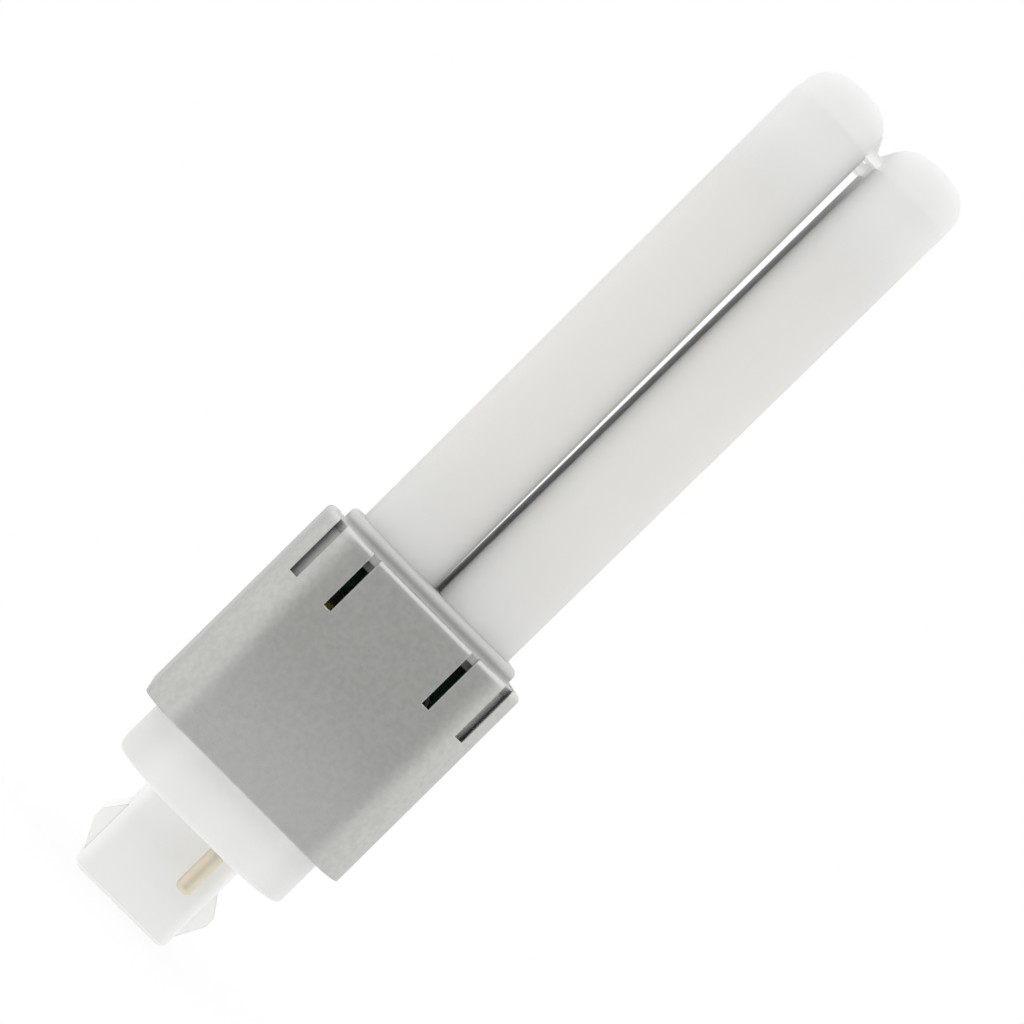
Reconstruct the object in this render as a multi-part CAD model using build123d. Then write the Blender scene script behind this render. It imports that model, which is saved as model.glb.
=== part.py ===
from build123d import *
import math
import os

# A two-pin plug-in LED lamp: four frosted light tubes on a square aluminium housing with a snap-in plug.
# The origin is at the centre of the plug's seating face. +Z runs up the lamp's axis to the tips of the
# tubes, X runs across the front pair of tubes and -Y is the front. All sizes are in millimetres.

# Contact pins
pin_d = 2.35
pin_length = 6.8
pin_tip_r = 0.7
pin_root_d = 2.7
pin_circle_d = 24.0
pin_offset = 4.0
pin_head_d = 3.4
pin_head_height = 1.4
pin_margin = 3.1

# Plug post with a snap-in ridge on its left and right sides
post_width = 16.1
post_depth = 14.5
post_length = 14.5
post_corner_r = 1.8
post_wall = 1.5
post_tip_chamfer = 0.6
ridge_height = 2.05
ridge_breadth = 8.0
ridge_tip_gap = 1.8
ridge_lead_in = 3.9
ridge_crest = 1.5
ridge_lead_out = 2.8

# Collar, inner flange and corner pillars of the base cap
collar_corner_r = 10.0
collar_height = 8.0
collar_wall = 1.6
collar_floor = 2.0
collar_edge_r = 0.7
flange_thickness = 1.6
flange_ledge = 3.5
pillar_breadth = 5.2
pillar_gap = 0.3

# Housing sleeve with slots cut down from its top edge
sleeve_corner_r = 6.4
sleeve_wall = 1.2
sleeve_length = 32.8
sleeve_edge_r = 0.8
slot_width = 1.2
slot_length = 9.1
slot_spacing = 17.4
corner_slot_spacing = 29.4

# Top plate with a raised boss and four tube sockets
plate_thickness = 1.2
plate_sink = 0.1
boss_corner_r = 4.8
boss_margin = 1.7
boss_ledge = 2.55
boss_height = 2.1
boss_edge_r = 0.9
socket_depth = 3.6
socket_wall = 1.2
socket_lip = 0.8
socket_lip_reach = 1.8

# Light tubes, in two rows of two that splay a little towards their tips
tube_d = 12.5
tube_wall = 0.9
tube_length = 81.4
tube_gap = 0.8
tube_splay = 0.34

# Twin end caps, one to each row
cap_skirt = 1.6
cap_shoulder_r = 4.2
cap_wall = 1.0
hollow_chamfer = 2.2
spigot_length = 3.0
bridge_height = 1.4
bridge_breadth = 3.0
web_height = 3.4
notch_floor = 0.5
notch_mouth = 2.6

# Light engine inside each tube
rail_flat = 3.2
led_board_margin = 0.9
led_board_thickness = 1.0
led_width = 3.0
led_height = 2.8
led_thickness = 0.7
led_pitch = 4.4
led_start = 6.0
led_end = 3.0

# Driver board and its components
board_thickness = 1.2
board_top_gap = 0.2
board_side_gap = 1.8
board_tail_width = 12.0
board_tail_margin = 1.6
core_width = 13.0
core_height = 12.0
core_depth = 6.0
core_leg = 1.7
core_centre_leg = 2.6
winding_depth = 9.0
bulk_capacitor_d = 7.5
bulk_capacitor_length = 9.5
output_capacitor_d = 6.3
output_capacitor_length = 9.0
capacitor_groove = 0.35
capacitor_edge = 0.4
film_capacitor_size = (8.0, 7.0, 4.5)
rectifier_size = (5.0, 2.4, 4.0)
controller_size = (5.0, 1.6, 4.0)
choke_d = 6.0
choke_length = 7.0
choke_flange = 1.2
choke_waist_d = 5.2
resistor_d = 3.0
resistor_length = 8.0
resistor_edge = 0.5
resistor_drop = 2.1
resistor_x = -1.5
transformer_x = -5.0
choke_x = -6.0
output_capacitor_x = 6.0
film_capacitor_x = 6.0
rectifier_x = -6.0
controller_x = 3.0
component_gap = 0.8

# Hook-up wires
wire_d = 1.0
wire_bend_r = 1.0
wire_rise = 2.6
lead_reach = 4.0
lead_drop = 3.0
lead_offset = 2.4

# Clearances between pieces that fit together
fit_gap = 0.1
press_gap = 0.02

# Heights and outlines that follow from the sizes above
tube_r = tube_d / 2
tube_bore_r = tube_r - tube_wall
socket_spread = 2 * socket_depth * math.tan(math.radians(tube_splay))
tube_pitch = tube_d + tube_gap - socket_spread
boss_size = tube_pitch + tube_d + 2 * boss_margin
sleeve_size = boss_size + 2 * boss_ledge
sleeve_inside = sleeve_size - 2 * sleeve_wall
sleeve_inside_r = sleeve_corner_r - sleeve_wall
pin_reach = math.sqrt((pin_circle_d / 2) ** 2 - pin_offset**2)
pin_places = {"front": (pin_offset, -pin_reach), "rear": (-pin_offset, pin_reach)}
collar_size = 2 * (pin_reach + pin_margin)
collar_inside = collar_size - 2 * collar_wall
collar_inside_r = collar_corner_r - collar_wall
flange_size = sleeve_inside - 2 * fit_gap
flange_corner_r = sleeve_inside_r - fit_gap
flange_top = collar_height + flange_thickness
sleeve_top = collar_height + sleeve_length
plate_top = sleeve_top - plate_sink
plate_bottom = plate_top - plate_thickness
boss_top = plate_top + boss_height
socket_r = tube_r + fit_gap
tube_seat = boss_top - socket_depth
socket_bottom = tube_seat - socket_lip
cap_height = cap_skirt + cap_shoulder_r
rail_r = tube_bore_r - fit_gap
rail_length = tube_length - spigot_length - 3 * fit_gap
led_board_width = 2 * math.sqrt(rail_r**2 - rail_flat**2) - 2 * led_board_margin
led_count = int((rail_length - led_start - led_end) // led_pitch) + 1
mains_wire_top = collar_floor + pin_head_height + wire_rise
board_face = board_thickness / 2
board_width = sleeve_inside - 2 * board_side_gap
board_top = socket_bottom - board_top_gap
board_bottom = mains_wire_top - board_tail_margin
lead_landing = board_top - lead_drop
upper_row = lead_landing - wire_d / 2 - component_gap
lower_row = flange_top + component_gap
bulk_capacitor_x = transformer_x + core_width / 2 + component_gap + bulk_capacitor_d / 2
pillar_size = sleeve_inside - 2 * pillar_gap
pillar_clear_r = tube_pitch / math.sqrt(2) + socket_r + socket_wall + pillar_gap
sides = {"left": -1, "right": 1}
rows = {"front": -1, "rear": 1}


def rounded_block(size, corner_r, low, high):
    """An upright block on a square outline with round corners, from one height to another."""
    return Pos(0, 0, low) * extrude(RectangleRounded(size, size, corner_r), high - low)


def tube_frame(row, side):
    """A light tube's own frame: foot on the socket's lip, +Z up the tube, +X away from the lamp's axis."""
    x, y = sides[side], rows[row]
    foot = Pos(x * tube_pitch / 2, y * tube_pitch / 2, tube_seat) * Rot(0, x * tube_splay, 0)
    return foot * Rot(0, 0, math.degrees(math.atan2(y, x)))


def make_base_cap():
    """The moulded base: a hollow post, the collar, a flange inside the housing and the corner pillars."""
    collar = rounded_block(collar_size, collar_corner_r, 0, collar_height)
    collar = fillet(collar.edges().group_by(Axis.Z)[0], collar_edge_r)
    post_outline = RectangleRounded(post_width, post_depth, post_corner_r)
    post = Pos(0, 0, -post_length) * extrude(post_outline, post_length)
    post = chamfer(post.edges().group_by(Axis.Z)[0], post_tip_chamfer)
    flange = rounded_block(flange_size, flange_corner_r, collar_height, flange_top)
    body = collar + post + flange + make_pillars() + make_ridges()

    hollow = rounded_block(collar_inside, collar_inside_r, collar_floor, collar_height)
    hollow += rounded_block(flange_size - 2 * flange_ledge, collar_inside_r, collar_height, flange_top)
    post_bore = RectangleRounded(post_width - 2 * post_wall, post_depth - 2 * post_wall, post_corner_r)
    hollow += Pos(0, 0, post_wall - post_length) * extrude(post_bore, post_length + collar_floor - post_wall)
    root_hole = extrude(Circle(pin_root_d / 2 + press_gap), collar_floor)
    head_room = extrude(Circle(pin_head_d / 2 + fit_gap), collar_height - collar_floor)
    for x, y in pin_places.values():
        hollow += Pos(x, y, 0) * root_hole
        hollow += Pos(x, y, collar_floor) * head_room
    return body - hollow


def make_pillars():
    """The four corner pillars that carry the top plate, hollowed on the inside to clear the sockets."""
    outline = RectangleRounded(pillar_size, pillar_size, sleeve_inside_r - pillar_gap)
    between = pillar_size - 2 * pillar_breadth
    outline -= Rectangle(between, pillar_size)
    outline -= Rectangle(pillar_size, between)
    outline -= Circle(pillar_clear_r)
    return Pos(0, 0, collar_height) * extrude(outline, plate_bottom - collar_height)


def make_ridges():
    """The two snap-in ridges, each a low trapezium that the lamp holder's springs slide over."""
    root = post_width / 2 - post_wall / 2
    face = post_width / 2
    low = ridge_tip_gap - post_length
    crest_low = low + ridge_lead_in
    crest_high = crest_low + ridge_crest
    high = crest_high + ridge_lead_out
    crest = face + ridge_height
    outline = Polyline(
        (root, low), (face, low), (crest, crest_low),
        (crest, crest_high), (face, high), (root, high), close=True,
    )
    ridge = extrude(Plane.XZ * make_face(outline), ridge_breadth / 2, both=True)
    return [ridge, Rot(0, 0, 180) * ridge]


def make_contact_pin(place):
    """A turned pin: a round-tipped shank, a root pressed into the floor and a head to solder a wire to."""
    x, y = pin_places[place]
    shank = Pos(0, 0, -pin_length) * extrude(Circle(pin_d / 2), pin_length)
    shank = fillet(shank.edges().group_by(Axis.Z)[0], pin_tip_r)
    root = extrude(Circle(pin_root_d / 2), collar_floor)
    head = Pos(0, 0, collar_floor) * extrude(Circle(pin_head_d / 2), pin_head_height)
    return Pos(x, y, 0) * (shank + root + head)


def make_sleeve():
    """The square housing tube, with two slots in each face and one cut straight back at each corner."""
    shell = rounded_block(sleeve_size, sleeve_corner_r, collar_height, sleeve_top)
    shell = fillet(shell.edges().group_by(Axis.Z)[-1], sleeve_edge_r)
    shell -= rounded_block(sleeve_inside, sleeve_inside_r, collar_height, sleeve_top)
    cut = extrude(Rectangle(slot_width, sleeve_size), slot_length)
    cut = Pos(0, -sleeve_size / 2 - sleeve_inside_r, sleeve_top - slot_length) * cut
    face_cuts = [Pos(x * slot_spacing / 2, 0, 0) * cut for x in (-1, 1)]
    corner_cuts = [Pos(x * corner_slot_spacing / 2, 0, 0) * cut for x in (-1, 1)]
    for turn in range(4):
        shell -= [Rot(0, 0, 90 * turn) * face_cut for face_cut in face_cuts]
    for turn in (0, 180):
        shell -= [Rot(0, 0, turn) * corner_cut for corner_cut in corner_cuts]
    return shell


def make_top_plate():
    """The cast plate that closes the housing, with a raised boss and a socket for each tube."""
    flange = rounded_block(flange_size, flange_corner_r, plate_bottom, plate_top)
    boss = rounded_block(boss_size, boss_corner_r, plate_top, boss_top)
    boss = fillet(boss.edges().group_by(Axis.Z)[-1], boss_edge_r)
    cup = Pos(0, 0, -socket_lip) * extrude(Circle(socket_r + socket_wall), plate_top - socket_bottom)
    seat = extrude(Circle(socket_r), 2 * socket_depth)
    mouth = Pos(0, 0, -2 * socket_lip) * extrude(Circle(tube_r - socket_lip_reach), 2 * socket_depth)
    frames = [tube_frame(row, side) for row in rows for side in sides]
    plate = flange + boss + [place * cup for place in frames]
    return plate - [place * hole for place in frames for hole in (seat, mouth)]


def make_tube(row, side):
    """A frosted diffuser tube that stands on the socket's lip."""
    return tube_frame(row, side) * extrude(Circle(tube_r) - Circle(tube_bore_r), tube_length)


def make_dome():
    """One hollow round-shouldered dome of an end cap, with a spigot that goes down into its tube."""
    dome = extrude(Circle(tube_r), cap_height)
    dome = fillet(dome.edges().group_by(Axis.Z)[-1], cap_shoulder_r)
    hollow_r = tube_bore_r - fit_gap - cap_wall
    dome += Pos(0, 0, -spigot_length) * extrude(Circle(hollow_r + cap_wall), spigot_length)
    hollow = extrude(Circle(hollow_r), spigot_length + cap_height - cap_wall)
    hollow = chamfer(hollow.edges().group_by(Axis.Z)[-1], hollow_chamfer)
    return Pos(0, 0, tube_length) * (dome - Pos(0, 0, -spigot_length) * hollow)


def make_end_cap(row):
    """A twin end cap: a dome on each tube of a row and the bridge between them, notched in the middle."""
    domes = [tube_frame(row, side) * make_dome() for side in sides]
    crown = (tube_frame(row, "right") * Pos(0, 0, tube_length)).position
    sag = tube_r - math.sqrt(tube_r**2 - (bridge_breadth / 2) ** 2)
    draw_in = cap_shoulder_r - math.sqrt(cap_shoulder_r**2 - (web_height - cap_skirt) ** 2)
    reach = crown.X - tube_r + sag + draw_in + cap_wall / 4
    half = Polyline(
        (0, 0), (reach, 0), (reach, web_height), (notch_mouth / 2, web_height),
        (notch_floor / 2, bridge_height), (0, bridge_height), close=True,
    )
    half_bridge = extrude(Plane.XZ * make_face(half), bridge_breadth / 2, both=True)
    bridge = half_bridge + Rot(0, 0, 180) * half_bridge
    return domes[0] + domes[1] + Pos(0, crown.Y, crown.Z + fit_gap) * bridge


def make_led_rail(row, side):
    """The D-section aluminium rail that lies along the inner side of a tube and carries its board."""
    far_half = Pos(rail_r - rail_flat, 0) * Rectangle(2 * rail_r, 2 * rail_r)
    return tube_frame(row, side) * extrude(Circle(rail_r) - far_half, rail_length)


def make_led_board(row, side):
    """The strip of circuit board on the flat of the rail."""
    strip = extrude(Rectangle(led_board_thickness, led_board_width), rail_length)
    return tube_frame(row, side) * Pos(-rail_flat + led_board_thickness / 2, 0, 0) * strip


def make_led_chips(row, side):
    """The row of light-emitting packages along a board."""
    chip = Box(led_thickness, led_width, led_height)
    x = -rail_flat + led_board_thickness + led_thickness / 2
    heights = [led_start + i * led_pitch for i in range(led_count)]
    return Compound([tube_frame(row, side) * Pos(x, 0, height) * chip for height in heights])


def make_driver_board():
    """The driver's circuit board: it stands on the base cap's flange and its tail hangs in the collar."""
    main = Rectangle(board_width, board_top - flange_top, align=(Align.CENTER, Align.MIN))
    tail = Rectangle(board_tail_width, flange_top - board_bottom, align=(Align.CENTER, Align.MAX))
    outline = Plane.XZ.offset(-board_face) * Pos(0, flange_top) * (main + tail)
    return extrude(outline, board_thickness)


def on_front(x, z):
    """A place on the front of the driver board, with +Z pointing away from the board."""
    return Pos(x, -board_face, z) * Rot(90, 0, 0)


def on_back(x, z):
    """A place on the back of the driver board, with +Z pointing away from the board."""
    return Pos(x, board_face, z) * Rot(-90, 0, 0)


def seated_box(size):
    """A box of width, height off the board and length along the board, standing on its place."""
    width, height, length = size
    return Pos(0, 0, height / 2) * Box(width, length, height)


def transformer_place():
    """The middle of the transformer, at the height that its winding lifts it off the board."""
    return on_front(transformer_x, upper_row - core_height / 2) * Pos(0, 0, winding_depth / 2)


def make_transformer_core():
    """The ferrite frame round the winding: two outer legs, a centre leg and two yokes."""
    window_width = (core_width - core_centre_leg) / 2 - core_leg
    window = Box(window_width, core_height - 2 * core_leg, winding_depth)
    shift = core_centre_leg / 2 + window_width / 2
    core = Box(core_width, core_height, core_depth) - [Pos(x * shift, 0, 0) * window for x in (-1, 1)]
    return transformer_place() * core


def make_transformer_winding():
    """The taped winding on the core's centre leg."""
    width = core_width - 2 * core_leg - 2 * fit_gap
    height = core_height - 2 * core_leg - 2 * fit_gap
    winding = Box(width, height, winding_depth)
    winding = fillet(winding.edges().filter_by(Axis.Y), core_leg / 2)
    winding -= Box(core_centre_leg + 2 * fit_gap, height, core_depth + 2 * fit_gap)
    return transformer_place() * winding


def make_can(diameter, length):
    """An electrolytic capacitor's can with a rolled groove near its foot and a bevelled top."""
    can = extrude(Circle(diameter / 2), length)
    can = chamfer(can.edges().group_by(Axis.Z)[-1], capacitor_edge)
    ring = extrude(Circle(diameter / 2) - Circle(diameter / 2 - capacitor_groove), 2 * capacitor_groove)
    return can - Pos(0, 0, diameter / 4) * ring


def make_choke():
    """A drum-core choke: two flanges and the waist that its wire fills."""
    flange = extrude(Circle(choke_d / 2), choke_flange)
    waist = extrude(Circle(choke_waist_d / 2), choke_length)
    return flange + waist + Pos(0, 0, choke_length - choke_flange) * flange


def make_resistor():
    """The fusible resistor, lying along the board."""
    body = Rot(0, 90, 0) * Cylinder(resistor_d / 2, resistor_length)
    body = chamfer(body.faces().filter_by(Axis.X).edges(), resistor_edge)
    return Pos(0, 0, resistor_d / 2 + fit_gap) * body


def wire_along(points):
    """A hook-up wire along straight runs joined by arcs."""
    path = FilletPolyline(*points, radius=wire_bend_r)
    return sweep(path.location_at(0) * Circle(wire_d / 2), path=path)


def make_mains_wire(place):
    """The wire from a contact pin's head up and across to the driver board's tail."""
    x, y = pin_places[place]
    face = math.copysign(board_face, y)
    head_top = collar_floor + pin_head_height
    return wire_along([(x, y, head_top), (x, y, mains_wire_top), (x, face, mains_wire_top)])


def make_led_leads(row, side):
    """The pair of wires from the driver board up to the foot of a tube's board."""
    x_in_tube = -rail_flat + led_board_thickness + wire_d / 2 + fit_gap
    leads = []
    for y_in_tube in (-lead_offset, lead_offset):
        top = (tube_frame(row, side) * Pos(x_in_tube, y_in_tube, lead_reach)).position
        turn = (top.X, top.Y, lead_landing)
        end = (top.X, rows[row] * board_face, lead_landing)
        leads.append(wire_along([(top.X, top.Y, top.Z), turn, end]))
    return Compound(leads)


def make_parts():
    """Every piece of the lamp by its name."""
    parts = {
        "base_cap": make_base_cap(),
        "housing_sleeve": make_sleeve(),
        "top_plate": make_top_plate(),
        "front_end_cap": make_end_cap("front"),
        "rear_end_cap": make_end_cap("rear"),
        "driver_board": make_driver_board(),
        "transformer_core": make_transformer_core(),
        "transformer_winding": make_transformer_winding(),
        "fusible_resistor": on_front(resistor_x, flange_top - resistor_drop) * make_resistor(),
    }
    bulk_place = on_front(bulk_capacitor_x, upper_row - bulk_capacitor_d / 2)
    parts["bulk_capacitor"] = bulk_place * make_can(bulk_capacitor_d, bulk_capacitor_length)
    output_place = on_back(output_capacitor_x, upper_row - output_capacitor_d / 2)
    parts["output_capacitor"] = output_place * make_can(output_capacitor_d, output_capacitor_length)
    parts["filter_choke"] = on_back(choke_x, upper_row - choke_d / 2) * make_choke()
    film_place = on_front(film_capacitor_x, lower_row + film_capacitor_size[2] / 2)
    parts["film_capacitor"] = film_place * seated_box(film_capacitor_size)
    rectifier_place = on_back(rectifier_x, lower_row + rectifier_size[2] / 2)
    parts["bridge_rectifier"] = rectifier_place * seated_box(rectifier_size)
    controller_place = on_back(controller_x, lower_row + controller_size[2] / 2)
    parts["controller_chip"] = controller_place * seated_box(controller_size)
    for place in pin_places:
        parts[f"{place}_contact_pin"] = make_contact_pin(place)
        parts[f"{place}_mains_wire"] = make_mains_wire(place)
    for row in rows:
        for side in sides:
            parts[f"{row}_{side}_diffuser_tube"] = make_tube(row, side)
            parts[f"{row}_{side}_led_rail"] = make_led_rail(row, side)
            parts[f"{row}_{side}_led_board"] = make_led_board(row, side)
            parts[f"{row}_{side}_led_chips"] = make_led_chips(row, side)
            parts[f"{row}_{side}_led_leads"] = make_led_leads(row, side)
    return parts


os.makedirs("parts", exist_ok=True)
for name, piece in make_parts().items():
    export_step(piece, f"parts/{name}.step")
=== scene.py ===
import math

import bpy
import numpy as np
from mathutils import Matrix, Vector


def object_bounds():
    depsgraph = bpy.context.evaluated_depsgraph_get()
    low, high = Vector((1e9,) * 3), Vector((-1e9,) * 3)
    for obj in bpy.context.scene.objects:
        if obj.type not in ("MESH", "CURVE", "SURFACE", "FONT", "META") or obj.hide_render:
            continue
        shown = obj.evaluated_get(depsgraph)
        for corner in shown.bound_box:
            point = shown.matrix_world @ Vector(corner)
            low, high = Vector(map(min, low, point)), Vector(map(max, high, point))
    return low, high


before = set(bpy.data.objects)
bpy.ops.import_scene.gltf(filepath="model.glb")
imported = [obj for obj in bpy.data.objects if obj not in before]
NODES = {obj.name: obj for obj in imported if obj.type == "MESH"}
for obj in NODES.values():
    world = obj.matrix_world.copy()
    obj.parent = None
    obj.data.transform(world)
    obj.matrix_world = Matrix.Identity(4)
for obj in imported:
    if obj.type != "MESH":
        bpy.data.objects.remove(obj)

CAD_BOX = [list(corner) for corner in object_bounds()]

bl_info = {
    "name": "LED Plug-in Lamp",
    "version": (1, 0, 0),
    "blender": (4, 5, 0),
    "location": "View3D > Sidebar > Plug-in Lamp",
    "description": "Dresses a plug-in LED lamp and sets up its studio",
    "category": "Object",
}

PLACES = ("front_left", "front_right", "rear_left", "rear_right")
FLOOR_Z = CAD_BOX[0][2]
WHITE = (1.0, 1.0, 1.0, 1.0)

# Heights, in metres above the plug's seating face, between which painted light and shade come and go
POST_ROOT = (-0.0055, -0.0010)
COLLAR_FOOT = (-0.0002, 0.0002)
HOUSING_FOOT = (0.0080, 0.0300)
HOUSING_RIM = (0.0394, 0.0406)
TUBE_ROOT = (0.0428, 0.0550)
TUBE_TIP = (0.1060, 0.1206)
BRIDGE_FOOT = (0.1205, 0.1207)
BRIDGE_HEAD = (0.1210, 0.1222)

# Distances from the lamp's middle, sideways or front to back, between which painted light and shade come
# and go
BRIDGE_SIDE = (0.0008, 0.0016)
TUBE_FLANK = (0.0004, 0.0028)
RIDGE_SIDE = (0.0080, 0.0083)
COLLAR_SIDE = (0.0080, 0.0140)
HOUSING_FACE = (0.0162, 0.0171)

# The line of painted shade round the foot of the top plate's boss: its height and how far it reaches up
# and down
SHADE_LINE_HEIGHT = 0.0414
SHADE_LINE_REACH = 0.0006

# How strongly painted light lifts the tubes' tips and roots, painted shade darkens their flanks and
# painted light lifts the plug post's root; and the strength of the end caps' painted glow
TIP_PAINTED_LIGHT = 0.8
ROOT_PAINTED_LIGHT = 0.4
FLANK_PAINTED_SHADE = 0.35
POST_PAINTED_LIGHT = 0.65
BRIDGE_PAINTED_GLOW = 0.26

# Lumps of noise to a metre
STREAK_LUMPS = 900
CLOUD_LUMPS = 90
FROST_LUMPS = 9000
FLOW_LUMPS = 120
MOULD_LUMPS = 7000
BLAST_LUMPS = 4200
MOTTLE_LUMPS = 1300
HOUSING_TARNISH_LUMPS = 140
PLATE_TARNISH_LUMPS = 300
RING_LUMPS = 1500
BRASS_TARNISH_LUMPS = 700
INNER_LUMPS = 800

# How much finer than that the noise is along x, y and z
STREAK_STRETCH = (1, 1, 0.02)
FLOW_STRETCH = (1, 1, 0.4)
RING_STRETCH = (0.05, 0.05, 4)

# The housing's mottles: the noise levels they run between, their share beside the slow tarnish, and
# how far the painted reflection at the foot comes through them
MOTTLE_LEVELS = (0.3, 0.7)
MOTTLE_SHARE = 0.6
MOTTLED_PAINTED_REFLECTION = (0.76, 0.94)

# Roughness, from the smoothest spot to the roughest
FROST_ROUGHNESS = (0.36, 0.46)
MOULD_ROUGHNESS = (0.30, 0.40)
SATIN_ROUGHNESS = (0.34, 0.48)
PLATE_ROUGHNESS = (0.62, 0.74)
BRASS_ROUGHNESS = (0.50, 0.62)
INNER_ROUGHNESS_SPREAD = 0.1

# Depth of the grain and radius of the softened edges, in metres
FROST_GRAIN = 0.000012
MOULD_GRAIN = 0.00001
METAL_GRAIN = 0.00002
RING_GRAIN = 0.00001
INNER_GRAIN = 0.00002
MOULD_EDGE = 0.00035
METAL_EDGE = 0.0003
PIN_EDGE = 0.0001

# Samples of a softened edge
EDGE_SAMPLES = 6

# Refractive indices of the plastics
FROST_IOR = 1.46
MOULD_IOR = 1.5

# The floor: its radii in metres, its rings and turns, its paper, and where it is lifted wholly to white
FLOOR_RADII = (0.01, 6.0)
FLOOR_RINGS = 24
FLOOR_TURNS = 96
FLOOR_PAPER = 0.9
FLOOR_LIFT = (0.02, 0.15)

# The studio: the cosine at which it is dimmest, and the rise at which the top light is full
DIM_CORE = 0.99
TOP_FULL = 0.9

# The camera's sensor in millimetres, and what it sees in metres
SENSOR_WIDTH = 36.0
CAMERA_REACH = (0.01, 50.0)


def grey(level):
    """A neutral colour of one level."""
    return (level, level, level, 1.0)


def rgba(colour):
    """A colour with full alpha."""
    return (*colour, 1.0)


class Wire:
    """A shader socket that can stand in a Python expression: each operator adds a Math node."""

    def __init__(self, tree, socket):
        self.tree = tree
        self.socket = socket

    def maths(self, operation, first, second):
        """A Math node on two values."""
        return self.tree.node("ShaderNodeMath", {"operation": operation}, {0: first, 1: second})

    def __add__(self, other):
        return self.maths("ADD", self, other)

    __radd__ = __add__

    def __sub__(self, other):
        return self.maths("SUBTRACT", self, other)

    def __rsub__(self, other):
        return self.maths("SUBTRACT", other, self)

    def __mul__(self, other):
        return self.maths("MULTIPLY", self, other)

    __rmul__ = __mul__

    def __abs__(self):
        return self.maths("ABSOLUTE", self, 0.0)


class Tree:
    """A node tree that nodes are added to, by type, settings and sockets."""

    def __init__(self, owner):
        owner.use_nodes = True
        self.nodes = owner.node_tree.nodes
        self.links = owner.node_tree.links
        self.nodes.clear()

    def node(self, kind, settings=None, sockets=None, out=0):
        """Adds a node, sets its settings, then its sockets' values or links.

        It gives one output as a Wire, or the node itself where it has none.
        """
        made = self.nodes.new(kind)
        for name, value in (settings or {}).items():
            setattr(made, name, value)
        for name, value in (sockets or {}).items():
            if isinstance(value, Wire):
                self.links.new(value.socket, made.inputs[name])
            else:
                made.inputs[name].default_value = value
        return Wire(self, made.outputs[out]) if len(made.outputs) else made

    def position(self, stretch=(1, 1, 1)):
        """Object coordinates, stretched along each axis."""
        place = self.node("ShaderNodeTexCoord", out="Object")
        return self.node("ShaderNodeMapping", {}, {"Vector": place, "Scale": stretch})

    def noise(self, scale, detail=2.0, stretch=(1, 1, 1)):
        """Smooth noise from 0 to 1 with so many lumps to a metre."""
        sockets = {"Vector": self.position(stretch), "Scale": scale, "Detail": detail}
        return self.node("ShaderNodeTexNoise", {}, sockets)

    def spread(self, value, low, high):
        """Maps a value from 0 to 1 on to the range from low to high."""
        return value * (high - low) + low

    def coordinate(self, axis):
        """Object coordinate along one axis."""
        place = self.node("ShaderNodeTexCoord", out="Object")
        return self.node("ShaderNodeSeparateXYZ", {}, {"Vector": place}, out=axis)

    def blend(self, factor, first, second):
        """Mixes two colours."""
        settings = {"data_type": "RGBA", "clamp_factor": True}
        sockets = {"Factor": factor, "A": first, "B": second}
        return self.node("ShaderNodeMix", settings, sockets, out="Result")

    def ramp(self, value, low, high, at_low, at_high):
        """Goes smoothly from one level to another as a value goes from low to high."""
        sockets = {
            "Value": value, "From Min": low, "From Max": high, "To Min": at_low, "To Max": at_high,
        }
        return self.node("ShaderNodeMapRange", {"interpolation_type": "SMOOTHSTEP"}, sockets)

    def rounded(self, radius):
        """The surface's normal with its sharp edges rounded to a radius."""
        return self.node("ShaderNodeBevel", {"samples": EDGE_SAMPLES}, {"Radius": radius})

    def smaller(self, first, second):
        """The smaller of two values."""
        return self.node("ShaderNodeMath", {"operation": "MINIMUM"}, {0: first, 1: second})

    def bump(self, height, distance, normal=None):
        """A normal raised by a height map."""
        sockets = {"Height": height, "Distance": distance, "Strength": 1.0}
        if normal is not None:
            sockets["Normal"] = normal
        return self.node("ShaderNodeBump", {}, sockets)


def start_material(name):
    """A new material and its empty tree."""
    material = bpy.data.materials.new(name)
    return material, Tree(material)


def principled(tree, **sockets):
    """A Principled shader. Sockets are given by name, with _ for a space."""
    named = {key.replace("_", " "): value for key, value in sockets.items()}
    return tree.node("ShaderNodeBsdfPrincipled", {}, named)


def surface(tree, shader):
    """Ends a material's tree in its output."""
    tree.node("ShaderNodeOutputMaterial", {}, {"Surface": shader})


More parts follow.
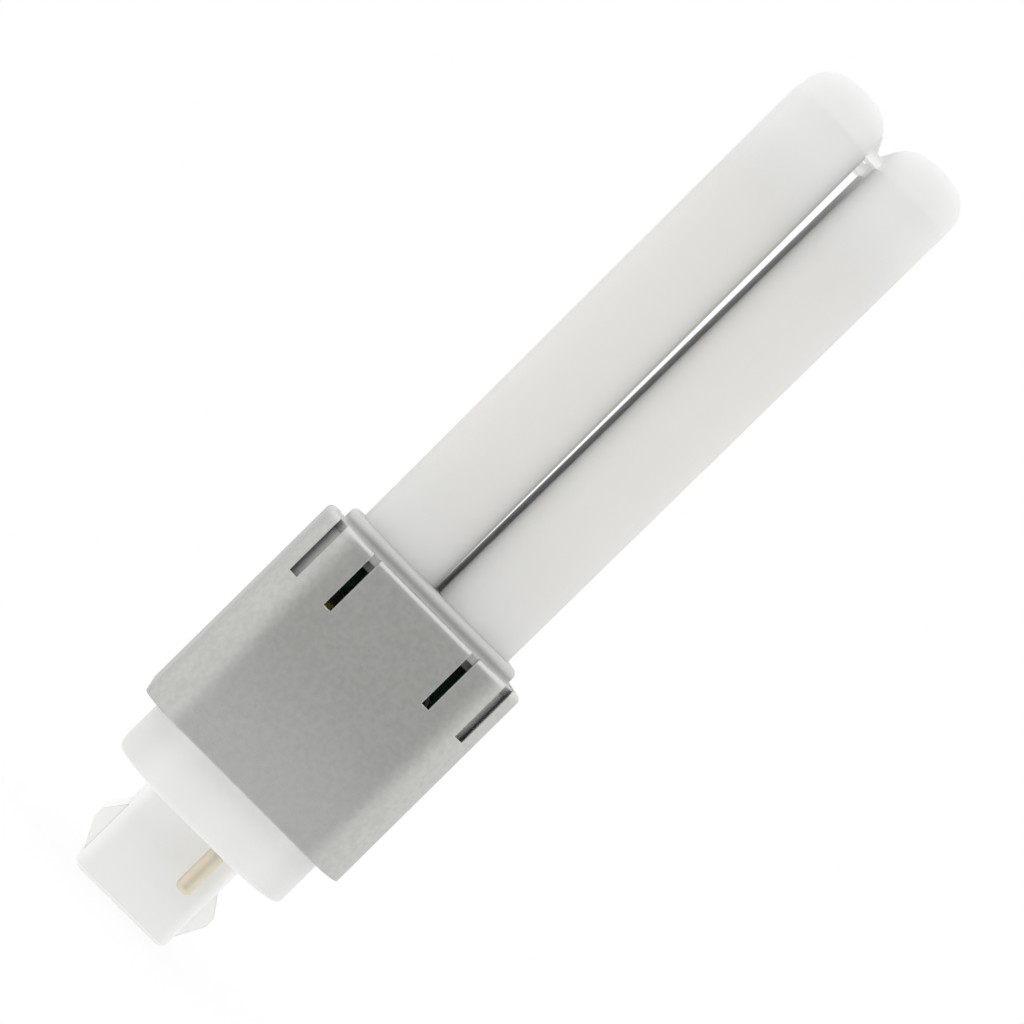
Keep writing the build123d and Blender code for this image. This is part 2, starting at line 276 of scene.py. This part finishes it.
def make_frosted(name, look, light, shade, through, tip=0.0, root=0.0, gap=0.0, painted_glow=0.0):
    """Milky plastic that lets soft light through, with faint streaks along it and a frosted grain.

    The shares tip, root and gap say how far painted light lifts a tube's tip and root to the end caps'
    paler look, and how far painted shade darkens it by the gaps. The bridge in an end cap carries a
    painted glow, an emission that stands in for light.
    """
    material, tree = start_material(name)
    streaks = tree.noise(STREAK_LUMPS, stretch=STREAK_STRETCH)
    clouds = tree.noise(CLOUD_LUMPS)
    grain = tree.noise(FROST_LUMPS)
    height = tree.coordinate("Z")
    sideways = abs(tree.coordinate("X"))
    inward = tree.smaller(sideways, abs(tree.coordinate("Y")))
    # Painted light: a tube's tip and root go over to the end caps' paler colour, against the shade that
    # the caps and the boss cast there
    painted_end_light = tree.ramp(height, *TUBE_TIP, 0.0, tip) + tree.ramp(height, *TUBE_ROOT, root, 0.0)
    # Painted shade on the flanks that face the next tube: a darker colour and less light let through,
    # standing in for the shade between the tubes
    flank = tree.ramp(inward, *TUBE_FLANK, gap, 0.0)
    colour = tree.blend(streaks * 0.5 + clouds * 0.5, rgba(shade), rgba(light))
    colour = tree.blend(painted_end_light, colour, rgba(look.cap_colour))
    colour = tree.blend(flank, colour, rgba(look.diffuser_painted_shade))
    # Painted glow: the end cap's bridge between the tubes is given a faint emission that stands in for
    # light; it is no lamp
    bridge = tree.ramp(height, *BRIDGE_FOOT, 0.0, 1.0) * tree.ramp(height, *BRIDGE_HEAD, 1.0, 0.0)
    bridge = bridge * tree.ramp(sideways, *BRIDGE_SIDE, 1.0, 0.0)
    translucency = (painted_end_light * (look.cap_translucency - through) + through) * (1.0 - flank)
    skin = principled(
        tree,
        Base_Color=colour,
        Roughness=tree.spread(grain, *FROST_ROUGHNESS),
        IOR=FROST_IOR,
        Emission_Color=tree.blend(bridge, grey(0.0), rgba(look.diffuser_glow)),
        Emission_Strength=painted_glow,
        Normal=tree.bump(grain, FROST_GRAIN),
    )
    depth = tree.node("ShaderNodeBsdfTranslucent", {}, {"Color": rgba(look.diffuser_glow)})
    surface(tree, tree.node("ShaderNodeMixShader", {}, {0: translucency, 1: skin, 2: depth}))
    return material


def make_white_moulding(look):
    """Injection-moulded white plastic: a fine spark-eroded grain and faint flow marks.

    Painted light makes it paler on the plug's ridges and at its root, and painted shade a little darker
    on the collar's sides.
    """
    material, tree = start_material("white_moulding")
    flow = tree.noise(FLOW_LUMPS, detail=3.0, stretch=FLOW_STRETCH)
    grain = tree.noise(MOULD_LUMPS)
    colour = tree.blend(flow, rgba(look.moulding_shade), rgba(look.moulding_colour))
    sideways = abs(tree.coordinate("X"))
    height = tree.coordinate("Z")
    # Painted shade darkens the collar's sides; painted light lifts the ridges and the post just under the
    # collar, against the collar's shadow
    collar = tree.ramp(height, *COLLAR_FOOT, 0.0, 1.0)
    side = collar * tree.ramp(sideways, *COLLAR_SIDE, 0.0, 1.0)
    pale = tree.ramp(sideways, *RIDGE_SIDE, 0.0, 1.0) + tree.ramp(height, *POST_ROOT, 0.0, POST_PAINTED_LIGHT)
    colour = tree.blend(side, colour, rgba(look.moulding_painted_shade))
    colour = tree.blend((1.0 - collar) * pale, colour, rgba(look.moulding_painted_light))
    shader = principled(
        tree,
        Base_Color=colour,
        Roughness=tree.spread(grain, *MOULD_ROUGHNESS),
        IOR=MOULD_IOR,
        Normal=tree.bump(grain, MOULD_GRAIN, tree.rounded(MOULD_EDGE)),
    )
    surface(tree, shader)
    return material


def make_satin_aluminium(look):
    """Bead-blasted aluminium: fine grain over small mottles and slow tarnish.

    A painted highlight makes it lighter on the housing's rim, and a painted reflection lighter towards
    the foot of the front and back.
    """
    material, tree = start_material("satin_aluminium")
    grain = tree.noise(BLAST_LUMPS, detail=3.0)
    tarnish = tree.noise(HOUSING_TARNISH_LUMPS, detail=3.0)
    mottle = tree.ramp(tree.noise(MOTTLE_LUMPS, detail=3.0), *MOTTLE_LEVELS, 0.0, 1.0)
    tone = tarnish * (1.0 - MOTTLE_SHARE) + mottle * MOTTLE_SHARE
    colour = tree.blend(tone, rgba(look.metal_shade), rgba(look.metal_colour))
    height = tree.coordinate("Z")
    depth = abs(tree.coordinate("Y"))
    # Painted reflection: the front and back are lightened towards their foot, standing in for the floor's
    # light reflected there
    foot = tree.ramp(height, *HOUSING_FOOT, 1.0, 0.0) * tree.ramp(depth, *HOUSING_FACE, 0.0, 1.0)
    # Painted highlight along the housing's rounded rim
    rim = tree.ramp(height, *HOUSING_RIM, 0.0, 1.0)
    colour = tree.blend(foot * tree.spread(mottle, *MOTTLED_PAINTED_REFLECTION), colour, rgba(look.metal_painted_reflection))
    colour = tree.blend(rim, colour, rgba(look.metal_painted_highlight))
    shader = principled(
        tree,
        Base_Color=colour,
        Metallic=1.0,
        Roughness=tree.spread(grain, *SATIN_ROUGHNESS),
        Normal=tree.bump(grain, METAL_GRAIN, tree.rounded(METAL_EDGE)),
    )
    surface(tree, shader)
    return material


def make_cast_plate(look):
    """Die-cast aluminium with a dull even grain, and a line of painted shade round the foot of its boss.
    """
    material, tree = start_material("cast_plate")
    grain = tree.noise(BLAST_LUMPS, detail=3.0)
    tarnish = tree.noise(PLATE_TARNISH_LUMPS, detail=3.0)
    colour = tree.blend(tarnish, rgba(look.plate_shade), rgba(look.plate_colour))
    # Painted shade: a dark line round the boss's foot, standing in for the shade where the boss meets the
    # housing's rim
    seam = tree.ramp(abs(tree.coordinate("Z") - SHADE_LINE_HEIGHT), 0.0, SHADE_LINE_REACH, 1.0, 0.0)
    shader = principled(
        tree,
        Base_Color=tree.blend(seam, colour, rgba(look.plate_painted_shade)),
        Metallic=1.0,
        Roughness=tree.spread(grain, *PLATE_ROUGHNESS),
        Normal=tree.bump(grain, METAL_GRAIN, tree.rounded(METAL_EDGE)),
    )
    surface(tree, shader)
    return material


def make_pin_brass(look):
    """Turned pale brass with fine lathe rings and a little tarnish."""
    material, tree = start_material("pin_brass")
    rings = tree.noise(RING_LUMPS, detail=1.0, stretch=RING_STRETCH)
    tarnish = tree.noise(BRASS_TARNISH_LUMPS, detail=3.0)
    colour = tree.blend(tarnish, rgba(look.brass_shade), rgba(look.brass_colour))
    shader = principled(
        tree,
        Base_Color=colour,
        Metallic=1.0,
        Roughness=tree.spread(rings, *BRASS_ROUGHNESS),
        Normal=tree.bump(rings, RING_GRAIN, tree.rounded(PIN_EDGE)),
    )
    surface(tree, shader)
    return material


def make_mottled(name, light, dark, roughness, metallic=0.0):
    """A plain inner finish: two near tones of one colour in small mottles, with a slight grain."""
    material, tree = start_material(name)
    mottle = tree.noise(INNER_LUMPS, detail=3.0)
    shader = principled(
        tree,
        Base_Color=tree.blend(mottle, rgba(dark), rgba(light)),
        Metallic=metallic,
        Roughness=tree.spread(mottle, roughness, roughness + INNER_ROUGHNESS_SPREAD),
        Normal=tree.bump(mottle, INNER_GRAIN),
    )
    surface(tree, shader)
    return material


def dress(material, *names):
    """Gives CAD nodes a material in place of the one they were packed with."""
    for name in names:
        mesh = NODES[name].data
        mesh.materials.clear()
        mesh.materials.append(material)


def colour_property(name, description, default):
    """A colour that a user can change."""
    return bpy.props.FloatVectorProperty(
        name=name, description=description, default=default, subtype="COLOR", size=3, min=0.0, max=1.0
    )


class LampLook(bpy.types.PropertyGroup):
    """The colours of the lamp's finishes, and of the light and shade painted on them."""

    diffuser_colour: colour_property(
        "Diffuser", "Frosted tubes where they are lightest", (0.942, 0.942, 0.938)
    )
    diffuser_shade: colour_property(
        "Diffuser shade", "Frosted tubes where they are darkest", (0.912, 0.912, 0.908)
    )
    # Painted shade on the tubes' flanks where they face each other
    diffuser_painted_shade: colour_property(
        "Diffuser flank", "Frosted tubes where they face each other", (0.60, 0.60, 0.59)
    )
    # Also the colour of the end caps' painted glow
    diffuser_glow: colour_property(
        "Glow", "Light that comes through the frosted plastic", (0.98, 0.98, 0.978)
    )
    cap_colour: colour_property("End cap", "End caps where they are lightest", (0.98, 0.98, 0.975))
    cap_shade: colour_property("End cap shade", "End caps where they are darkest", (0.96, 0.96, 0.955))
    translucency: bpy.props.FloatProperty(
        name="Translucency", description="Share of the light that the frosted tubes let through",
        default=0.6, subtype="FACTOR", min=0.0, max=1.0,
    )
    cap_translucency: bpy.props.FloatProperty(
        name="Cap translucency", description="Share of the light that the thicker end caps let through",
        default=0.34, subtype="FACTOR", min=0.0, max=1.0,
    )
    moulding_colour: colour_property(
        "Moulding", "White plug where it is lightest", (0.847, 0.847, 0.838)
    )
    moulding_shade: colour_property(
        "Moulding shade", "White plug where it is darkest", (0.817, 0.817, 0.803)
    )
    # Painted shade on the collar's sides
    moulding_painted_shade: colour_property(
        "Collar side", "White plug on the collar's sides", (0.715, 0.715, 0.705)
    )
    # Painted light on the plug's ridges and the post's root
    moulding_painted_light: colour_property(
        "Pale moulding", "White plug on its ridges and at its root", (0.955, 0.955, 0.945)
    )
    metal_colour: colour_property(
        "Housing", "Satin aluminium where it is lightest", (0.530, 0.532, 0.512)
    )
    metal_shade: colour_property(
        "Housing shade", "Satin aluminium where it is darkest", (0.454, 0.456, 0.437)
    )
    # Painted reflection of the floor at the housing's foot
    metal_painted_reflection: colour_property(
        "Housing foot", "Satin aluminium at the housing's foot", (0.632, 0.633, 0.615)
    )
    # Painted highlight on the housing's rim
    metal_painted_highlight: colour_property(
        "Housing rim", "Satin aluminium on the housing's rim", (0.59, 0.59, 0.577)
    )
    plate_colour: colour_property("Plate", "Cast top plate where it is lightest", (0.64, 0.64, 0.626))
    plate_shade: colour_property(
        "Plate shade", "Cast top plate where it is darkest", (0.61, 0.61, 0.597)
    )
    # Painted shade in the line round the boss's foot
    plate_painted_shade: colour_property(
        "Plate seam", "Cast top plate in the line round its foot", (0.46, 0.46, 0.45)
    )
    brass_colour: colour_property("Brass", "Contact pins where they are lightest", (0.73, 0.67, 0.555))
    brass_shade: colour_property(
        "Brass shade", "Contact pins where they are darkest", (0.66, 0.60, 0.475)
    )


class LampStage(bpy.types.PropertyGroup):
    """Where the camera stands and how the studio is lit."""

    camera_distance: bpy.props.FloatProperty(
        name="Camera distance", description="From the camera to the lamp's axis",
        default=0.450, unit="LENGTH",
    )
    camera_height: bpy.props.FloatProperty(
        name="Camera height", description="Height of the camera above the plug's seating face",
        default=0.050, unit="LENGTH",
    )
    frame_width: bpy.props.FloatProperty(
        name="Frame width", description="Width of the picture at the lamp's axis",
        default=0.1330, unit="LENGTH",
    )
    camera_azimuth: bpy.props.FloatProperty(
        name="Azimuth", description="Turn of the camera round the lamp, from the front",
        default=math.radians(-3.4), subtype="ANGLE",
    )
    camera_roll: bpy.props.FloatProperty(
        name="Roll", description="Lean of the lamp in the picture, clockwise from upright",
        default=math.radians(45.4), subtype="ANGLE",
    )
    aim_height: bpy.props.FloatProperty(
        name="Aim height", description="Height on the lamp's axis that the camera looks at",
        default=0.0568, unit="LENGTH",
    )
    side_light: bpy.props.FloatProperty(
        name="Side light", description="Level of the soft light from the sides", default=1.125, min=0.0,
    )
    top_light: bpy.props.FloatProperty(
        name="Top light", description="Level of the soft light from above", default=1.26, min=0.0,
    )
    front_dimming: bpy.props.FloatProperty(
        name="Front dimming", description="How much darker the studio is in front of the lamp",
        default=0.70, subtype="FACTOR", min=0.0, max=1.0,
    )
    rear_dimming: bpy.props.FloatProperty(
        name="Rear dimming", description="How much darker the studio is behind the lamp",
        default=0.25, subtype="FACTOR", min=0.0, max=1.0,
    )
    front_squeeze: bpy.props.FloatProperty(
        name="Front squeeze",
        description="How many times wider than high the dim parts of the studio are",
        default=2.6, min=1.0,
    )
    front_turn: bpy.props.FloatProperty(
        name="Front turn",
        description="Turn of the dim parts of the studio round the lamp, from front and back",
        default=math.radians(5.0), subtype="ANGLE",
    )
    front_edge: bpy.props.FloatProperty(
        name="Front edge", description="Cosine of the angle from the front at which the dimming starts",
        default=0.54, subtype="FACTOR", min=0.0, max=0.95,
    )
    floor_glow: bpy.props.FloatProperty(
        name="Floor glow", description="How far the floor by the lamp is lifted to white",
        default=0.75, subtype="FACTOR", min=0.0, max=1.0,
    )


class LAMP_OT_light_tubes(bpy.types.Operator):
    """Finish the four frosted tubes and their end caps"""

    bl_idname = "lamp.light_tubes"
    bl_label = "Light tubes"

    def execute(self, context):
        look = context.scene.lamp_look
        tubes = [f"{place}_diffuser_tube" for place in PLACES]
        # Painted light at the tubes' tips and roots, and painted shade on their flanks
        frosted = make_frosted(
            "frosted_tube", look, look.diffuser_colour, look.diffuser_shade, look.translucency,
            tip=TIP_PAINTED_LIGHT, root=ROOT_PAINTED_LIGHT, gap=FLANK_PAINTED_SHADE,
        )
        dress(frosted, *tubes)
        # End caps, whose bridge carries a painted glow
        milky = make_frosted(
            "frosted_cap", look, look.cap_colour, look.cap_shade, look.cap_translucency,
            painted_glow=BRIDGE_PAINTED_GLOW,
        )
        dress(milky, "front_end_cap", "rear_end_cap")
        return {"FINISHED"}


class LAMP_OT_housing(bpy.types.Operator):
    """Finish the slotted sleeve and the top plate"""

    bl_idname = "lamp.housing"
    bl_label = "Housing"

    def execute(self, context):
        look = context.scene.lamp_look
        dress(make_satin_aluminium(look), "housing_sleeve")
        dress(make_cast_plate(look), "top_plate")
        return {"FINISHED"}


class LAMP_OT_plug(bpy.types.Operator):
    """Finish the white plug and its contact pins"""

    bl_idname = "lamp.plug"
    bl_label = "Plug"

    def execute(self, context):
        look = context.scene.lamp_look
        dress(make_white_moulding(look), "base_cap")
        dress(make_pin_brass(look), "front_contact_pin", "rear_contact_pin")
        return {"FINISHED"}


class LAMP_OT_light_engine(bpy.types.Operator):
    """Finish the rails, boards, packages and leads inside the tubes"""

    bl_idname = "lamp.light_engine"
    bl_label = "Light engine"

    def execute(self, context):
        finishes = {
            "led_rail": make_mottled("rail_aluminium", (0.90, 0.90, 0.90), (0.85, 0.85, 0.85), 0.35, 1.0),
            "led_board": make_mottled("led_laminate", (0.93, 0.93, 0.92), (0.90, 0.90, 0.89), 0.4),
            "led_chips": make_mottled("led_phosphor", (0.86, 0.68, 0.18), (0.80, 0.60, 0.12), 0.3),
            "led_leads": make_mottled("lead_insulation", (0.10, 0.10, 0.10), (0.06, 0.06, 0.06), 0.4),
        }
        for kind, material in finishes.items():
            dress(material, *[f"{place}_{kind}" for place in PLACES])
        return {"FINISHED"}


class LAMP_OT_driver(bpy.types.Operator):
    """Finish the driver board and its components inside the housing"""

    bl_idname = "lamp.driver"
    bl_label = "Driver"

    def execute(self, context):
        board = make_mottled("driver_laminate", (0.05, 0.20, 0.10), (0.03, 0.14, 0.06), 0.35)
        dress(board, "driver_board")
        core = make_mottled("ferrite", (0.08, 0.08, 0.085), (0.04, 0.04, 0.045), 0.6)
        dress(core, "transformer_core")
        winding = make_mottled("winding_tape", (0.78, 0.62, 0.10), (0.66, 0.50, 0.06), 0.35)
        dress(winding, "transformer_winding")
        capacitors = make_mottled("capacitor_sleeve", (0.05, 0.06, 0.10), (0.03, 0.035, 0.06), 0.25)
        dress(capacitors, "bulk_capacitor", "output_capacitor")
        film = make_mottled("film_case", (0.72, 0.56, 0.10), (0.60, 0.45, 0.07), 0.4)
        dress(film, "film_capacitor")
        epoxy = make_mottled("black_epoxy", (0.04, 0.04, 0.04), (0.02, 0.02, 0.02), 0.5)
        dress(epoxy, "bridge_rectifier", "controller_chip", "filter_choke")
        resistor = make_mottled("resistor_coat", (0.28, 0.48, 0.48), (0.20, 0.38, 0.38), 0.35)
        dress(resistor, "fusible_resistor")
        wires = make_mottled("mains_insulation", (0.74, 0.74, 0.73), (0.66, 0.66, 0.65), 0.4)
        dress(wires, "front_mains_wire", "rear_mains_wire")
        return {"FINISHED"}


def add_floor(stage):
    """A round pale floor under the plug: radius times cosine and sine of the turn, on a grid of both.

    The radii grow by one factor from ring to ring, and a fan of triangles closes the middle.
    """
    turns = np.linspace(0.0, 2 * math.pi, FLOOR_TURNS, endpoint=False)
    radii = np.geomspace(*FLOOR_RADII, FLOOR_RINGS)
    ring_x = np.outer(radii, np.cos(turns))
    ring_y = np.outer(radii, np.sin(turns))
    points = np.stack([ring_x, ring_y, np.full_like(ring_x, FLOOR_Z)], axis=-1).reshape(-1, 3)
    index = np.arange(points.shape[0]).reshape(len(radii), len(turns))
    after = np.roll(index, -1, axis=1)
    faces = np.stack([index[:-1], index[1:], after[1:], after[:-1]], axis=-1).reshape(-1, 4)
    middle = np.array([[0.0, 0.0, FLOOR_Z]])
    hub = np.stack([np.full(len(turns), len(points)), index[0], after[0]], axis=-1)
    points = np.vstack([points, middle])
    floor = bpy.data.objects.new("floor", bpy.data.meshes.new("floor"))
    floor.data.from_pydata(points.tolist(), [], faces.tolist() + hub.tolist())
    floor.data.update()
    bpy.context.scene.collection.objects.link(floor)
    floor.data.materials.append(make_floor_white(stage))


def make_floor_white(stage):
    """Pale paper that the camera alone sees, lifted towards white with the lamp's shadow left in it."""
    material, tree = start_material("floor_white")
    camera = tree.node("ShaderNodeLightPath", out="Is Camera Ray")
    place = tree.node("ShaderNodeTexCoord", out="Object")
    away = tree.node("ShaderNodeVectorMath", {"operation": "LENGTH"}, {0: place}, out="Value")
    lift = tree.ramp(away, *FLOOR_LIFT, stage.floor_glow, 1.0)
    paper = tree.node("ShaderNodeBsdfDiffuse", {}, {"Color": grey(FLOOR_PAPER)})
    glow = tree.node("ShaderNodeEmission", {}, {"Color": WHITE, "Strength": 1.0})
    shown = tree.node("ShaderNodeMixShader", {}, {0: lift, 1: paper, 2: glow})
    clear = tree.node("ShaderNodeBsdfTransparent", {}, {"Color": WHITE})
    surface(tree, tree.node("ShaderNodeMixShader", {}, {0: camera, 1: clear, 2: shown}))
    return material


def set_world(stage):
    """White all round to the camera alone.

    Every other ray, reflections too, meets a soft studio light, most of it from above and least from
    front and back.
    """
    world = bpy.data.worlds.new("studio")
    bpy.context.scene.world = world
    tree = Tree(world)
    camera = tree.node("ShaderNodeLightPath", out="Is Camera Ray")
    direction = tree.node("ShaderNodeTexCoord", out="Generated")
    front_way = (math.sin(stage.front_turn), -math.cos(stage.front_turn), 0.0)
    stretch = {0: direction, 1: (1.0, 1.0, stage.front_squeeze)}
    squeezed = tree.node("ShaderNodeVectorMath", {"operation": "MULTIPLY"}, stretch)
    heading = tree.node("ShaderNodeVectorMath", {"operation": "NORMALIZE"}, {0: squeezed})
    dot = {0: heading, 1: front_way}
    forward = tree.node("ShaderNodeVectorMath", {"operation": "DOT_PRODUCT"}, dot, out="Value")
    upward = tree.node("ShaderNodeSeparateXYZ", {}, {"Vector": direction}, out="Z")
    front = tree.ramp(forward, stage.front_edge, DIM_CORE, 0.0, stage.front_dimming)
    rear = tree.ramp(-1.0 * forward, stage.front_edge, DIM_CORE, 0.0, stage.rear_dimming)
    above = tree.ramp(upward, 0.0, TOP_FULL, stage.side_light, stage.top_light)
    level = above * (1.0 - front - rear)
    shown = camera + (1.0 - camera) * level
    light = tree.node("ShaderNodeBackground", {}, {"Color": WHITE, "Strength": shown})
    tree.node("ShaderNodeOutputWorld", {}, {"Surface": light})


def add_camera(stage):
    """A camera aimed at the lamp's axis, rolled so that the lamp leans in the picture."""
    camera = bpy.data.cameras.new("camera")
    camera.sensor_width = SENSOR_WIDTH
    camera.clip_start, camera.clip_end = CAMERA_REACH
    turn, roll = stage.camera_azimuth, stage.camera_roll
    across = Vector((math.cos(turn), math.sin(turn), 0.0))
    away = Vector((math.sin(turn), -math.cos(turn), 0.0)) * stage.camera_distance
    target = Vector((0.0, 0.0, stage.aim_height))
    place = target + away + Vector((0.0, 0.0, stage.camera_height - stage.aim_height))
    camera.lens = camera.sensor_width * (place - target).length / stage.frame_width
    back = (place - target).normalized()
    along = back.cross(across)
    right = math.sin(roll) * along + math.cos(roll) * across
    up = math.cos(roll) * along - math.sin(roll) * across
    seat = Matrix((right, up, back)).transposed().to_4x4()
    seat.translation = place
    eye = bpy.data.objects.new("camera", camera)
    eye.matrix_world = seat
    bpy.context.scene.collection.objects.link(eye)
    bpy.context.scene.camera = eye


class LAMP_OT_stage(bpy.types.Operator):
    """Add the floor, the studio light and the camera"""

    bl_idname = "lamp.stage"
    bl_label = "Stage"

    def execute(self, context):
        stage = context.scene.lamp_stage
        add_floor(stage)
        set_world(stage)
        add_camera(stage)
        context.scene.view_settings.view_transform = "Standard"
        return {"FINISHED"}


OPERATORS = (
    LAMP_OT_light_tubes,
    LAMP_OT_housing,
    LAMP_OT_plug,
    LAMP_OT_light_engine,
    LAMP_OT_driver,
    LAMP_OT_stage,
)


class LAMP_PT_panel(bpy.types.Panel):
    """The lamp's steps and settings"""

    bl_idname = "LAMP_PT_panel"
    bl_label = "Plug-in Lamp"
    bl_space_type = "VIEW_3D"
    bl_region_type = "UI"
    bl_category = "Plug-in Lamp"

    def draw(self, context):
        for step in OPERATORS:
            self.layout.operator(step.bl_idname)
        for settings in (context.scene.lamp_look, context.scene.lamp_stage):
            for name in settings.__annotations__:
                self.layout.prop(settings, name)


CLASSES = (LampLook, LampStage, *OPERATORS, LAMP_PT_panel)


def register():
    for item in CLASSES:
        bpy.utils.register_class(item)
    bpy.types.Scene.lamp_look = bpy.props.PointerProperty(type=LampLook)
    bpy.types.Scene.lamp_stage = bpy.props.PointerProperty(type=LampStage)


def unregister():
    del bpy.types.Scene.lamp_stage
    del bpy.types.Scene.lamp_look
    for item in reversed(CLASSES):
        bpy.utils.unregister_class(item)


def main():
    register()
    bpy.ops.lamp.light_tubes()
    bpy.ops.lamp.housing()
    bpy.ops.lamp.plug()
    bpy.ops.lamp.light_engine()
    bpy.ops.lamp.driver()
    bpy.ops.lamp.stage()


if __name__ == "__main__":
    main()
